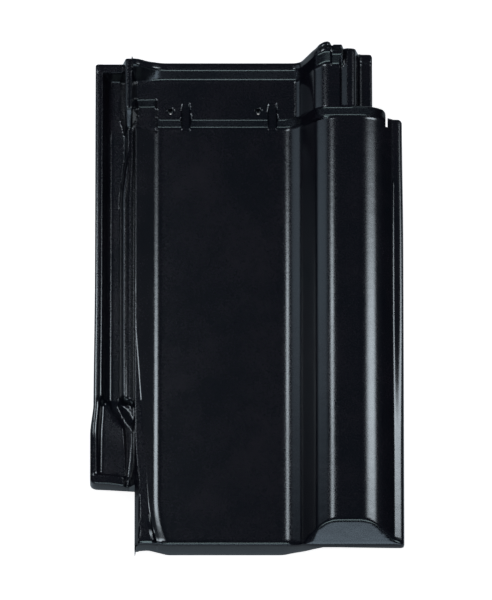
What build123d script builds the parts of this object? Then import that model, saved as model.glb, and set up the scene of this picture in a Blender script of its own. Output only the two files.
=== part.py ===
from build123d import *
import os

# Clay roof tile with interlocking head and sides, pressed and fired in one piece.
# X runs across the tile, Y from its foot up to its head, Z up from the floor it lies on.
# All sizes are in millimetres.

# Levels above the floor, and rises from one level to another
pan_level = 26.0
crest_rise = 14.0
roll_rise = 30.0
lip_rise = 14.0
panel_rise = 6.5
head_bar_rise = 8.0
channel_floor = 17.0
rim_level = 30.0
lock_rib_level = 28.5
lug_level = 22.0
channel_under = 8.5
side_flange_level = 45.0

# Wall thickness of the pressed clay
shell = 10.5

# Widths across the tile, from its left edge to its right
lug_flare = 3.8
rim_width = 6.5
rim_slope = 7.7
trough_width = 7.3
lock_rib_width = 14.5
flank_run = 19.3
pan_width = 124.0
roll_slope_run = 25.7
roll_top_width = 41.9
cover_run = 20.5
lip_width = 8.9

# Widths of the head, from the ridge to the right edge of its flange
head_ridge_width = 6.0
head_ridge_overhang = 9.1
head_ridge_slope_run = 3.5
head_crest_width = 4.7
head_flank_run = 18.7
head_roll_inset = 3.8
head_roll_slope_run = 15.6
head_roll_top_width = 34.6
head_flange_drop_run = 3.5
head_flange_width = 12.0
head_groove_inset = 20.6
head_groove_wall = 1.5
head_groove_width = 6.8
head_groove_depth = 2.4
bead_rise = 4.0
bead_length = 5.0
bead_notch = 2.0
bead_notch_from_left = 12.0

# Lengths from foot to head
nose_reach = 4.3
field_length = 401.4
step_run = 2.8
panel_length = 41.85
head_bar_slope_run = 3.7
head_bar_width = 9.05
roll_overrun = 7.4
channel_overrun = 1.8
flank_delay = 19.7
flank_end_gap = 4.4
ridge_delay = 6.8
lug_front = 59.5

# Rounding of the section
flank_radius = 12.0
ridge_radius = 2.0
head_crest_radius = 12.0
head_flank_radius = 24.0
roll_foot_radius = 24.7
roll_left_radius = 28.4
roll_right_radius = 32.0
lip_radius = 10.0
head_roll_foot_radius = 9.0
head_roll_radius = 11.5
head_flange_radius = 4.0
lip_edge_radius = 3.2
body_edge_radius = 1.6
foot_edge_radius = 4.0
foot_edge_bevel = 1.2
head_edge_radius = 2.5
rim_radius = 2.4
trough_radius = 2.2
lug_corner_radius = 5.0

# Foot wall and the sloping nose of the roll
foot_wall = 9.0
foot_rise_start = 10.0
foot_rise_run = 25.0
foot_flank_run = 7.0
foot_flank_rise = 12.0
foot_edge_drop = 3.0
nose_edge_step = 6.0
nose_slope_run = 17.3
nose_slope_drop = 21.0
nose_clearance = 24.0

# Long facet on the left crest
facet_length = 205.0
facet_drop = 10.6

# Side channel, its end wall and its lug
channel_end_wall = 6.7
channel_end_slope = 4.4
lug_length = 75.5
lug_rim_run = 6.3
lug_fall = 6.0
flare_run = 30.0
outlet_width = 7.3
outlet_drop = 24.0
lock_rib_chamfer = 2.5
trough_widening = 5.0
widening_run = 40.0
widening_from_step = 25.4

# Bar that stands across the roll where the head begins
band_width = 3.9
band_overhang = 15.6
lip_slot_width = 1.8
lip_slot_length = 14.0

# Drain trenches through the step
trench_width = 7.5
trench_length = 20.6
trench_first = 25.5
trench_spacing = 77.8

# Hanging nibs and nail holes
nib_width = 30.0
nib_depth = 13.0
nib_spacing = 80.0
nib_from_head = 34.0
nib_draft = 2.5
nail_hole = 5.5
nail_spacing = 78.8
nail_first = 12.25
nail_from_panel = 10.1

overall_width = (
    lug_flare + rim_width + rim_slope + trough_width + lock_rib_width + flank_run
    + pan_width + roll_slope_run + roll_top_width + cover_run + lip_width
)
head_end_from_foot = (
    field_length + step_run + panel_length + head_bar_slope_run + head_bar_width
)
overall_length = nose_reach + head_end_from_foot + roll_overrun

# Places across the tile
rim_outer = -overall_width / 2 + lug_flare
rim_inner = rim_outer + rim_width
trough_left = rim_inner + rim_slope
trough_right = trough_left + trough_width
body_left = trough_right + lock_rib_width
pan_left = body_left + flank_run
pan_right = pan_left + pan_width
roll_left = pan_right + roll_slope_run
roll_right = roll_left + roll_top_width
lip_left = roll_right + cover_run
lip_right = lip_left + lip_width
band_right = lip_right - band_overhang

# Places across the head
ridge_left = body_left - head_ridge_overhang
ridge_right = ridge_left + head_ridge_width
ridge_foot = ridge_right + head_ridge_slope_run
head_crest_right = ridge_right + head_crest_width
head_roll_foot = pan_right + head_roll_inset
head_roll_left = head_roll_foot + head_roll_slope_run
head_roll_right = head_roll_left + head_roll_top_width
head_flange_left = head_roll_right + head_flange_drop_run
head_flange_right = head_flange_left + head_flange_width
head_groove_left = head_roll_left + head_groove_inset

# Places along the tile
foot_y = -overall_length / 2 + nose_reach
nose_y = foot_y - nose_reach
lug_y = foot_y + lug_front
lock_rib_y = lug_y + lug_length
step_y = foot_y + field_length
panel_y = step_y + step_run
head_bar_y = panel_y + panel_length
head_bar_top_y = head_bar_y + head_bar_slope_run
head_y = head_bar_top_y + head_bar_width
roll_end_y = head_y + roll_overrun
channel_end_y = head_y + channel_overrun
widening_y = step_y - widening_from_step

# Levels worked out from the rises
crest_level = pan_level + crest_rise
roll_level = pan_level + roll_rise
lip_level = pan_level + lip_rise
panel_level = pan_level + panel_rise
ridge_level = panel_level + crest_rise
nose_edge = roll_level - nose_clearance
above_all = roll_level + panel_rise + head_bar_rise + 20
overlap = 4.0


def station(y):
    """Upright plane across the tile at a place along its length."""
    return Plane(origin=(0, y, 0), x_dir=(1, 0, 0), z_dir=(0, -1, 0))


def field_top(rise):
    """Top line of the pan, the roll and the cover flange, inside a BuildLine."""
    return FilletPolyline(
        (body_left - overlap, crest_level + rise + overlap * crest_rise / flank_run),
        (pan_left, pan_level + rise),
        (pan_right, pan_level + rise),
        (roll_left, roll_level + rise),
        (roll_right, roll_level + rise),
        (lip_left, lip_level + rise),
        (lip_right, lip_level + rise),
        radius=[
            flank_radius, roll_foot_radius, roll_left_radius,
            roll_right_radius, lip_radius,
        ],
    )


def field_section(y, rise=0.0, right=lip_right):
    """Section of the pan, the roll and the cover flange at one station."""
    with BuildSketch(station(y)) as section:
        with BuildLine():
            field_top(rise)
            offset(amount=shell, side=Side.RIGHT, closed=True)
        make_face()
        with Locations((body_left, 0)):
            Rectangle(
                right - body_left, 2 * above_all, align=(Align.MIN, Align.CENTER),
                mode=Mode.INTERSECT,
            )
        left_edge = section.vertices().group_by(Axis.X)[0]
        right_edge = section.vertices().group_by(Axis.X)[-1]
        fillet(left_edge.sort_by(Axis.Y)[-1], radius=body_edge_radius)
        fillet(right_edge.sort_by(Axis.Y)[-1], radius=lip_edge_radius)
    return section.sketch


def head_section(y, rise=0.0):
    """Section of the raised head at one station, with its narrower, grooved roll."""
    level = panel_level + rise
    with BuildSketch(station(y)) as section:
        with BuildLine():
            FilletPolyline(
                (pan_left, level),
                (head_roll_foot, level),
                (head_roll_left, level + roll_rise),
                (head_roll_right, level + roll_rise),
                (head_flange_left, side_flange_level + rise),
                (head_flange_right, side_flange_level + rise),
                radius=[
                    head_roll_foot_radius, head_roll_radius,
                    head_flange_radius, head_flange_radius,
                ],
            )
            offset(amount=shell, side=Side.RIGHT, closed=True)
        make_face()
        right_edge = section.vertices().group_by(Axis.X)[-1]
        fillet(right_edge.sort_by(Axis.Y)[-1], radius=head_edge_radius)
        with BuildLine():
            Polyline(
                (head_groove_left, level + roll_rise),
                (head_groove_left + head_groove_wall, level + roll_rise - head_groove_depth),
                (head_groove_left + head_groove_width, level + roll_rise),
                close=True,
            )
        make_face(mode=Mode.SUBTRACT)
    return section.sketch


# Pan, roll and cover flange, from behind their rounded foot edge to the head
with BuildPart() as field:
    add(field_section(foot_y + foot_edge_radius))
    extrude(amount=panel_y - foot_y - foot_edge_radius, dir=(0, 1, 0))

# Rounded foot edge of the pan and its flank
with BuildPart() as foot_edge:
    add(field_section(foot_y, -foot_edge_radius, right=pan_right))
    add(field_section(foot_y + foot_edge_bevel, -foot_edge_bevel, right=pan_right))
    loft(ruled=True)
    add(field_section(foot_y + foot_edge_bevel, -foot_edge_bevel, right=pan_right))
    add(field_section(foot_y + foot_edge_radius, right=pan_right))
    loft(ruled=True)

# Nose of the roll, which reaches past the foot of the pan
with BuildPart() as nose:
    add(field_section(nose_y))
    extrude(amount=nose_reach + foot_edge_radius, dir=(0, 1, 0))
    with BuildSketch(Plane.XY):
        with Locations((pan_right - lip_edge_radius, foot_y)):
            Rectangle(
                overall_width, 4 * foot_edge_radius, align=(Align.MIN, Align.CENTER)
            )
    extrude(amount=above_all, mode=Mode.INTERSECT)

# Bar across the pan and the roll where the head begins
with BuildPart() as band:
    add(field_section(step_y, right=band_right))
    add(field_section(panel_y, panel_rise, right=band_right))
    loft(ruled=True)
    add(field_section(panel_y, panel_rise, right=band_right))
    extrude(amount=band_width, dir=(0, 1, 0))
    with BuildSketch(Plane.XY):
        with Locations((pan_left, step_y - overlap)):
            Rectangle(
                lip_right - pan_left, panel_length, align=(Align.MIN, Align.MIN)
            )
    extrude(amount=above_all, mode=Mode.INTERSECT)

# Raised head panel and its roll
with BuildPart() as head:
    add(head_section(panel_y))
    extrude(amount=roll_end_y - panel_y, dir=(0, 1, 0))

# Bar along the head edge, as far as the groove, with a bead on the end of the roll
with BuildPart() as head_bar:
    add(head_section(head_bar_y))
    add(head_section(head_bar_top_y, head_bar_rise))
    loft(ruled=True)
    add(head_section(head_bar_top_y, head_bar_rise))
    extrude(amount=roll_end_y - head_bar_top_y, dir=(0, 1, 0))
    add(head_section(roll_end_y - bead_length, head_bar_rise + bead_rise))
    extrude(amount=bead_length, dir=(0, 1, 0))
    with BuildSketch(Plane.XY):
        with Locations((pan_left, head_bar_y)):
            Rectangle(
                head_groove_left - pan_left, overall_length, align=(Align.MIN, Align.MIN)
            )
    extrude(amount=above_all, mode=Mode.INTERSECT)
    with BuildSketch(Plane.XY.offset(roll_level + panel_rise + head_bar_rise)):
        with Locations((pan_left, roll_end_y - bead_length)):
            Rectangle(
                head_roll_left - pan_left, overlap + bead_length,
                align=(Align.MIN, Align.MIN),
            )
        with Locations((head_roll_left + bead_notch_from_left, roll_end_y)):
            Rectangle(bead_notch, 2 * bead_length)
    extrude(amount=above_all, mode=Mode.SUBTRACT)

# Left side of the head: its floor, its ridge and the bar that sweeps up to the ridge
with BuildPart() as head_side:
    with Locations((ridge_left, panel_y + flank_delay, panel_level)):
        Box(
            pan_left + overlap - ridge_left, head_y - panel_y - flank_delay, shell,
            align=(Align.MIN, Align.MIN, Align.MAX),
        )
    with Locations((body_left, step_y - shell, pan_level)):
        Box(
            flank_run + overlap, step_run + flank_delay + 2 * shell, shell,
            align=(Align.MIN, Align.MIN, Align.MAX),
        )
    with BuildSketch(station(head_bar_y)):
        with BuildLine():
            sweep = FilletPolyline(
                (ridge_right, ridge_level + head_bar_rise),
                (head_crest_right, ridge_level + head_bar_rise),
                (head_crest_right + head_flank_run, panel_level + head_bar_rise),
                (head_roll_foot, panel_level + head_bar_rise),
                radius=[head_crest_radius, head_flank_radius],
            )
            Polyline(
                sweep @ 1,
                (head_roll_foot, panel_level - shell),
                (ridge_right, panel_level - shell),
                sweep @ 0,
            )
        make_face()
    extrude(amount=head_y - head_bar_y, dir=(0, 1, 0))
    with BuildSketch(Plane.YZ.offset(ridge_right)):
        with BuildLine():
            Polyline(
                (head_bar_y, panel_level),
                (head_bar_y + 3 * head_bar_slope_run, panel_level + 3 * head_bar_rise),
                (head_bar_y, panel_level + 3 * head_bar_rise),
                close=True,
            )
        make_face()
    extrude(amount=head_roll_foot - ridge_right, mode=Mode.SUBTRACT)
    with BuildSketch(station(panel_y + ridge_delay)) as ridge:
        with BuildLine():
            Polyline(
                (ridge_left, lock_rib_level - shell),
                (ridge_left, ridge_level),
                (ridge_right, ridge_level),
                (ridge_foot, panel_level),
                (ridge_foot, lock_rib_level - shell),
                close=True,
            )
        make_face()
        fillet(ridge.vertices().group_by(Axis.Y)[-1], radius=ridge_radius)
    extrude(amount=channel_end_y - panel_y - ridge_delay, dir=(0, 1, 0))

# Side channel: outer rim, trough and lock rib, then the lug at its lower end
with BuildPart() as side:
    with BuildSketch(station(lock_rib_y)) as channel:
        with BuildLine():
            Polyline(
                (rim_outer, channel_under),
                (rim_outer, rim_level),
                (rim_inner, rim_level),
                (trough_left, channel_floor),
                (trough_right, channel_floor),
                (trough_right + lock_rib_chamfer, lock_rib_level),
                (body_left + overlap, lock_rib_level),
                (body_left + overlap, lock_rib_level - shell),
                (trough_right + shell, channel_under + shell),
                (trough_right + shell / 2, channel_under),
                close=True,
            )
        make_face()
        corners = channel.vertices().sort_by(Axis.X)
        fillet(corners.filter_by_position(Axis.Y, rim_level, rim_level), radius=rim_radius)
        fillet(
            corners.filter_by_position(Axis.Y, channel_floor, channel_floor),
            radius=trough_radius,
        )
    extrude(amount=channel_end_y - lock_rib_y, dir=(0, 1, 0))
    with BuildSketch(station(lug_y)) as lug:
        with BuildLine():
            Polyline(
                (rim_outer - lug_flare, channel_under),
                (rim_outer - lug_flare, rim_level),
                (rim_inner - lug_flare, rim_level),
                (trough_left - lug_rim_run, lug_level),
                (body_left, lug_level),
                (body_left, lock_rib_level),
                (body_left + overlap, lock_rib_level),
                (body_left + overlap, channel_under),
                close=True,
            )
        make_face()
        fillet(
            lug.vertices().filter_by_position(Axis.Y, rim_level, rim_level),
            radius=rim_radius,
        )
    extrude(amount=lug_length, dir=(0, 1, 0))
    with BuildSketch(Plane.YZ.offset(rim_outer - lug_flare)):
        with BuildLine():
            Polyline(
                (lug_y, rim_level - lug_fall),
                (lock_rib_y - flare_run, rim_level),
                (lug_y, rim_level),
                close=True,
            )
        make_face()
    extrude(amount=lug_flare + rim_width + lug_rim_run, mode=Mode.SUBTRACT)
    with BuildSketch(Plane.XY.offset(channel_floor)):
        with BuildLine() as outlet:
            Polyline(
                ((trough_left + trough_right) / 2, lock_rib_y + lug_flare),
                ((trough_left + trough_right) / 2, lock_rib_y),
                (body_left - outlet_width / 2, lock_rib_y - outlet_drop),
                (body_left - outlet_width / 2, lug_y - overlap),
            )
        trace(line_width=outlet_width)
    extrude(amount=above_all, mode=Mode.SUBTRACT)
    with BuildSketch(Plane.XY):
        with BuildLine():
            Polyline(
                (rim_outer, lock_rib_y - overlap),
                (rim_outer, lock_rib_y + overlap),
                (rim_outer - lug_flare - overlap, lock_rib_y + overlap),
                (rim_outer - lug_flare - overlap, lock_rib_y - flare_run),
                (rim_outer - lug_flare, lock_rib_y - flare_run),
                close=True,
            )
        make_face()
    extrude(amount=above_all, mode=Mode.SUBTRACT)
    with BuildSketch(Plane.YZ.offset(rim_inner)):
        with BuildLine():
            Polyline(
                (channel_end_y - channel_end_wall - channel_end_slope, channel_floor),
                (channel_end_y - channel_end_wall, rim_level),
                (channel_end_y, rim_level),
                (channel_end_y, channel_floor),
                close=True,
            )
        make_face()
    extrude(amount=trough_right + lock_rib_chamfer - rim_inner)
    with BuildSketch(Plane.XY.offset(channel_floor)):
        with BuildLine():
            Polyline(
                (trough_right, widening_y - widening_run),
                (trough_right + trough_widening, widening_y),
                (trough_right + trough_widening, channel_end_y - channel_end_wall),
                (trough_right, channel_end_y - channel_end_wall),
                close=True,
            )
        make_face()
    extrude(amount=above_all, mode=Mode.SUBTRACT)

# Wall across the foot, down to the floor under the pan
with BuildPart() as foot:
    with BuildSketch(station(nose_y)):
        with BuildLine():
            top = field_top(-foot_edge_radius)
            Polyline(
                top @ 1,
                (lip_right, lip_level - shell),
                (lip_left, lip_level - shell),
                (roll_left, nose_edge),
                (pan_right - foot_rise_start + foot_rise_run, nose_edge - nose_edge_step),
                (pan_right - foot_rise_start, 0),
                (pan_left + foot_rise_start, 0),
                (pan_left - foot_flank_run, foot_flank_rise),
                (body_left - overlap, foot_flank_rise - foot_edge_drop),
                top @ 0,
            )
        make_face()
        with Locations((body_left, 0)):
            Rectangle(
                lip_right - body_left, 2 * above_all, align=(Align.MIN, Align.CENTER),
                mode=Mode.INTERSECT,
            )
    extrude(amount=nose_reach + foot_wall, dir=(0, 1, 0))

# Two nibs that hang the tile on its batten, upright on the side that bears on it
with BuildPart() as nibs:
    with BuildSketch(Plane.YZ.offset((pan_left + pan_right - nib_width) / 2)):
        with BuildLine():
            Polyline(
                (head_y - nib_from_head, 0),
                (head_y - nib_from_head + nib_depth, 0),
                (head_y - nib_from_head + nib_depth + nib_draft, panel_level - shell / 2),
                (head_y - nib_from_head, panel_level - shell / 2),
                close=True,
            )
        make_face()
    nib = extrude(amount=nib_width, mode=Mode.PRIVATE)
    with GridLocations(nib_spacing, 1, 2, 1):
        add(nib)

with BuildPart() as roof_tile:
    add(field.part)
    add(foot_edge.part)
    add(nose.part)

    # Pocket behind the end of the left flank
    with Locations((body_left, step_y - flank_end_gap, pan_level)):
        Box(
            flank_run, step_run + flank_end_gap + overlap, above_all,
            align=(Align.MIN, Align.MIN, Align.MIN), mode=Mode.SUBTRACT,
        )
    add(head_side.part)
    add(band.part)
    add(head.part)
    add(head_bar.part)
    add(side.part)
    add(foot.part)
    add(nibs.part)

    # Drain trenches that ramp down through the step
    with BuildSketch(Plane.YZ.offset(pan_left + trench_first)):
        with BuildLine():
            Polyline(
                (step_y, pan_level),
                (step_y + trench_length, panel_level),
                (step_y + trench_length, above_all),
                (step_y, above_all),
                close=True,
            )
        make_face()
    trench = extrude(amount=trench_width, mode=Mode.PRIVATE)
    for place in (0, trench_spacing):
        with Locations((place, 0, 0)):
            add(trench, mode=Mode.SUBTRACT)

    # Nail holes through the head panel
    with Locations(
        (pan_left + nail_first + nail_spacing / 2, panel_y + nail_from_panel, above_all)
    ):
        with GridLocations(nail_spacing, 1, 2, 1):
            Hole(radius=nail_hole / 2)

    # Front edge in plan, with the nose of the roll reaching past the pan
    with BuildSketch(Plane.XY):
        with BuildLine():
            Polyline(
                (body_left - overlap, nose_y - overlap),
                (body_left - overlap, foot_y),
                (pan_right - foot_rise_start, foot_y),
                (pan_right - foot_rise_start + foot_rise_run, nose_y),
                (pan_right - foot_rise_start + foot_rise_run, nose_y - overlap),
                close=True,
            )
        make_face()
    extrude(amount=above_all, mode=Mode.SUBTRACT)

    # Sloping nose of the roll
    with BuildSketch(Plane.YZ.offset(body_left - overlap)):
        with BuildLine():
            Polyline(
                (nose_y, roll_level - nose_slope_drop),
                (nose_y + 2 * nose_slope_run, roll_level + nose_slope_drop),
                (nose_y, roll_level + nose_slope_drop),
                close=True,
            )
        make_face()
    extrude(amount=overall_width, mode=Mode.SUBTRACT)

    # Long facet that lowers the left crest towards the foot
    with BuildSketch(Plane.YZ.offset(body_left - overlap)):
        with BuildLine():
            Polyline(
                (foot_y - facet_length, crest_level - 2 * facet_drop),
                (foot_y + facet_length, crest_level),
                (foot_y - facet_length, crest_level),
                close=True,
            )
        make_face()
    extrude(amount=flank_run + overlap, mode=Mode.SUBTRACT)

    # Slot between the end of the roll and the head end of the lip
    with BuildSketch(Plane.XY):
        with Locations((band_right, panel_y + band_width)):
            Rectangle(
                lip_slot_width, lip_slot_length, align=(Align.MIN, Align.MAX)
            )
    extrude(amount=above_all, mode=Mode.SUBTRACT)

    # Rounded outer corner of the lug
    lug_corner = roof_tile.edges().filter_by(Axis.Z).filter_by_position(
        Axis.Y, lug_y - overlap, lug_y + overlap
    )
    fillet(lug_corner.sort_by(Axis.X)[0], radius=lug_corner_radius)

roof_tile.part.label = "roof_tile"
os.makedirs("parts", exist_ok=True)
export_step(roof_tile.part, "parts/roof_tile.step")
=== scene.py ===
"""Clay roof tile with a glossy black glaze, lying on a pale studio floor."""
from __future__ import annotations

import logging
import math
from dataclasses import dataclass, field
from enum import Enum
from functools import cached_property
from itertools import accumulate
from typing import NamedTuple

import bmesh
import bpy
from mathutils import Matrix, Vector, noise

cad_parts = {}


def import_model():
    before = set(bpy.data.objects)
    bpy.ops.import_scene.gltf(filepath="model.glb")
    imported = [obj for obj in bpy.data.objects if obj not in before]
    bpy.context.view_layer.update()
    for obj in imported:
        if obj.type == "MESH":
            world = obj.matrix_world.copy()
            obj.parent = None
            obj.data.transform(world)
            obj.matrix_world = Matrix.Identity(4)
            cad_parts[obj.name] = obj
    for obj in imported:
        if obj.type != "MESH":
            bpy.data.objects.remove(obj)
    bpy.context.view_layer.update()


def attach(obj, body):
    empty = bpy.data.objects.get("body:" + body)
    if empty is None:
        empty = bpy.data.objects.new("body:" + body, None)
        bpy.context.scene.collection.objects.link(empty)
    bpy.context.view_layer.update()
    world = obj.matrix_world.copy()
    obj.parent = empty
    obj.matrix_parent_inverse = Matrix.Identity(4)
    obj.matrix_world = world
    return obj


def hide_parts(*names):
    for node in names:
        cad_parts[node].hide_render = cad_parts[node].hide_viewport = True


MM = 0.001
TINY = 1e-6
LOG = logging.getLogger("roof_tile")
Pair = tuple[float, float]
Triple = tuple[float, float, float]
Inputs = dict[object, object]
Socket = bpy.types.NodeSocket


class Side(Enum):
    """Which face of the pressed tile a surface belongs to."""

    WEATHER = 0
    UNDER = 1


def blend_max(a: float, b: float, width: float) -> float:
    """The higher of two heights, with a soft fillet where they cross.

    Args:
        a: First height in millimetres.
        b: Second height in millimetres.
        width: How far apart the heights start to blend.

    Returns:
        The blended height.
    """
    near = max(width - abs(a - b), 0.0) / width
    return max(a, b) + near * near * width / 4


def blend_min(a: float, b: float, width: float) -> float:
    """The lower of two heights, with a soft round where they cross."""
    return -blend_max(-a, -b, width)


def eased(value: float, start: float, end: float) -> float:
    """A ramp from 0 at start to 1 at end, level at both ends."""
    t = min(max((value - start) / (end - start), 0.0), 1.0)
    return t * t * (3 - 2 * t)


def rounded_fall(inside: float, radius: float, steepness: float = 12.0) -> float:
    """How far a surface drops near its own edge.

    Args:
        inside: Distance from the edge, positive on the surface.
        radius: Radius of the rounded edge.
        steepness: Slope of the wall past the edge.

    Returns:
        The drop in millimetres.
    """
    if inside >= radius:
        return 0.0
    if inside >= 0:
        return radius - math.sqrt(max(radius**2 - (radius - inside) ** 2, 0.0))
    return radius - inside * steepness


class Profile:
    """A line of straight runs joined by tangent arcs, read as a height along one axis."""

    def __init__(self, *points: Pair, radii: tuple[float, ...]) -> None:
        """Works out the runs and arcs of the line.

        Args:
            points: Corners of the line, from left to right.
            radii: Radius at each inner corner.
        """
        self.points = [Vector(point) for point in points]
        self.radii = radii
        self.spans: list[tuple[float, tuple[float, ...]]] = []
        here = self.points[0]
        for corner, after, radius in zip(self.points[1:], self.points[2:], radii):
            into = (corner - here).normalized()
            out = (after - corner).normalized()
            turn = math.atan2(into.cross(out), into.dot(out))
            reach = radius * math.tan(abs(turn) / 2)
            start = corner - into * reach
            end = corner + out * reach
            sign = math.copysign(1.0, turn)
            centre = start + Vector((-into.y, into.x)) * radius * sign
            self.spans.append((start.x, (here.x, here.y, into.y / into.x)))
            if abs(turn) > TINY:
                self.spans.append((end.x, (centre.x, centre.y, radius, sign)))
            here = end
        rest = self.points[-1] - here
        self.spans.append((math.inf, (here.x, here.y, rest.y / rest.x)))

    def at(self, place: float) -> float:
        """Height of the line at a place along its axis.

        Args:
            place: The place, which may lie past the line's ends.

        Returns:
            The height there.
        """
        shape = next(shape for right, shape in self.spans if place <= right)
        if len(shape) == 3:
            return shape[1] + (place - shape[0]) * shape[2]
        reach = math.sqrt(max(shape[2] ** 2 - (place - shape[0]) ** 2, 0.0))
        return shape[1] - shape[3] * reach

    def lowered(self, thickness: float) -> "Profile":
        """The same line moved down square to itself, as the other face of a wall.

        Args:
            thickness: Thickness of the wall.

        Returns:
            The moved line.
        """
        runs = [(b - a).normalized() for a, b in zip(self.points, self.points[1:])]
        moved = []
        for point, into, out in zip(self.points, runs[:1] + runs, runs + runs[-1:]):
            normal = Vector((into.y + out.y, -into.x - out.x)).normalized()
            moved.append(point + normal * thickness / normal.dot((into.y, -into.x)))
        radii = []
        for into, out, radius in zip(runs, runs[1:], self.radii):
            sign = math.copysign(1.0, into.cross(out))
            radii.append(max(radius + sign * thickness, 0.5))
        return Profile(*moved, radii=tuple(radii))


def ramp(start: float, end: float, rise: float, radius: float) -> Profile:
    """A slope along the tile between a level run at zero and one at its rise."""
    return Profile((-50, 0), (start, 0), (end, rise), (900, rise), radii=(radius, radius))


@dataclass
class TilePlan:
    """Sizes of the tile in millimetres, and the places of the edges that follow from them.

    Places across the tile are measured from its middle, and places along it from its foot.
    """

    pan_level: float = 26.0
    crest_rise: float = 14.0
    roll_rise: float = 30.0
    lip_rise: float = 14.0
    panel_rise: float = 6.5
    head_bar_rise: float = 8.0
    bead_rise: float = 4.0
    channel_floor: float = 17.0
    rim_level: float = 30.0
    lock_rib_level: float = 28.5
    lug_level: float = 22.0
    channel_under: float = 8.5
    side_flange_level: float = 45.0
    shell: float = 10.5
    thinnest: float = 6.0

    lug_flare: float = 3.8
    rim_width: float = 6.5
    rim_slope: float = 7.7
    trough_width: float = 7.3
    trough_widening: float = 5.0
    lock_rib_width: float = 14.5
    flank_run: float = 19.3
    pan_width: float = 124.0
    roll_slope_run: float = 25.7
    roll_top_width: float = 41.9
    cover_run: float = 20.5
    lip_width: float = 8.9

    head_ridge_width: float = 6.0
    head_ridge_overhang: float = 9.1
    head_ridge_slope_run: float = 3.5
    head_crest_width: float = 4.7
    head_flank_run: float = 18.7
    head_roll_inset: float = 3.8
    head_roll_slope_run: float = 15.6
    head_roll_top_width: float = 34.6
    head_flange_drop_run: float = 3.5
    head_flange_width: float = 12.0
    groove_inset: float = 20.6
    groove_wall: float = 1.5
    groove_width: float = 6.8
    groove_depth: float = 2.4
    bead_notch_inset: float = 13.0
    bead_past_groove: float = 3.4

    nose_reach: float = 4.3
    step: float = 401.4
    step_run: float = 2.8
    panel_length: float = 41.85
    head_bar_slope_run: float = 3.7
    head_bar_width: float = 9.05
    roll_overrun: float = 7.4
    channel_overrun: float = 1.8
    flank_delay: float = 19.7
    flank_end_gap: float = 4.4
    ridge_delay: float = 6.8
    lug_front: float = 59.5
    lug_length: float = 75.5
    lug_fall: float = 6.0
    flare_run: float = 30.0
    outlet_width: float = 7.3
    outlet_drop: float = 24.0
    widening_start: float = 336.0
    widening_run: float = 40.0
    band_width: float = 3.9
    band_overhang: float = 15.6
    lip_slot_width: float = 1.8
    lip_slot_length: float = 14.0
    trench_width: float = 7.5
    trench_length: float = 20.6
    trench_first: float = 22.3
    trench_spacing: float = 77.8
    nail_radius: float = 2.75
    nail_round: float = 1.2
    nail_taper: float = 0.66
    nail_first: float = 12.25
    nail_spacing: float = 78.8
    nail_from_panel: float = 10.1
    nib_width: float = 30.0
    nib_depth: float = 13.0
    nib_spacing: float = 80.0
    nib_from_head: float = 34.0
    foot_wall: float = 9.0
    nose_slope_run: float = 17.3
    nose_slope_drop: float = 21.0
    nose_ease: float = 30.0
    foot_radius: float = 4.0
    nose_radius: float = 1.4
    lip_edge_radius: float = 3.2
    lip_squeeze: float = 0.9
    facet_length: float = 205.0
    facet_drop: float = 10.6
    facet_fade: float = 50.0
    crest_inset: float = 0.6
    fold_inset: float = 7.5
    foot_sweep: float = 8.0
    foot_sweep_run: float = 42.0
    body_draft: float = 3.6
    run_on: float = 30.0
    draft_fade: Pair = (45.0, 100.0)
    flank_wall_fade: Pair = (60.0, 140.0)
    lip_tilt_fade: Pair = (60.0, 240.0)
    rim_flare_fade: Pair = (120.0, 260.0)
    lip_squeeze_span: Pair = (280.0, 400.0)
    flange_lift_span: Pair = (449.4, 451.0)

    def __post_init__(self) -> None:
        """Works out the places of the edges from the sizes."""
        across = (
            self.lug_flare, self.rim_width, self.rim_slope, self.trough_width,
            self.lock_rib_width, self.flank_run, self.pan_width, self.roll_slope_run,
            self.roll_top_width, self.cover_run, self.lip_width,
        )
        (
            self.rim_outer, self.rim_inner, self.trough_left, self.trough_right,
            self.body_left, self.pan_left, self.pan_right, self.roll_left,
            self.roll_right, self.lip_left, self.lip_right,
        ) = (place - sum(across) / 2 for place in accumulate(across))
        self.crest = self.body_left + self.crest_inset
        self.fold = self.body_left + self.fold_inset
        self.band_right = self.lip_right - self.band_overhang

        self.ridge_left = self.body_left - self.head_ridge_overhang
        self.ridge_right = self.ridge_left + self.head_ridge_width
        self.ridge_foot = self.ridge_right + self.head_ridge_slope_run
        self.crest_right = self.ridge_right + self.head_crest_width
        self.head_roll_foot = self.pan_right + self.head_roll_inset
        self.head_roll_left = self.head_roll_foot + self.head_roll_slope_run
        self.head_roll_right = self.head_roll_left + self.head_roll_top_width
        self.bead_notch = self.head_roll_left + self.bead_notch_inset
        self.groove_left = self.head_roll_left + self.groove_inset
        self.groove_right = self.groove_left + self.groove_width
        self.bead_end = self.groove_left + self.bead_past_groove
        self.head_flange_left = self.head_roll_right + self.head_flange_drop_run
        self.head_flange_right = self.head_flange_left + self.head_flange_width

        self.lock_rib_start = self.lug_front + self.lug_length
        self.flare_start = self.lock_rib_start - self.flare_run
        self.panel = self.step + self.step_run
        self.flank_end = self.step - self.flank_end_gap
        self.pocket_end = self.step + self.flank_delay
        self.ridge_start = self.panel + self.ridge_delay
        self.band_end = self.panel + self.band_width
        self.slot_start = self.band_end - self.lip_slot_length
        self.head_bar = self.panel + self.panel_length
        self.head_bar_top = self.head_bar + self.head_bar_slope_run
        self.head_end = self.head_bar_top + self.head_bar_width
        self.nib_start = self.head_end - self.nib_from_head
        length = self.nose_reach + self.head_end + self.roll_overrun
        self.foot_y = self.nose_reach - length / 2

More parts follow.
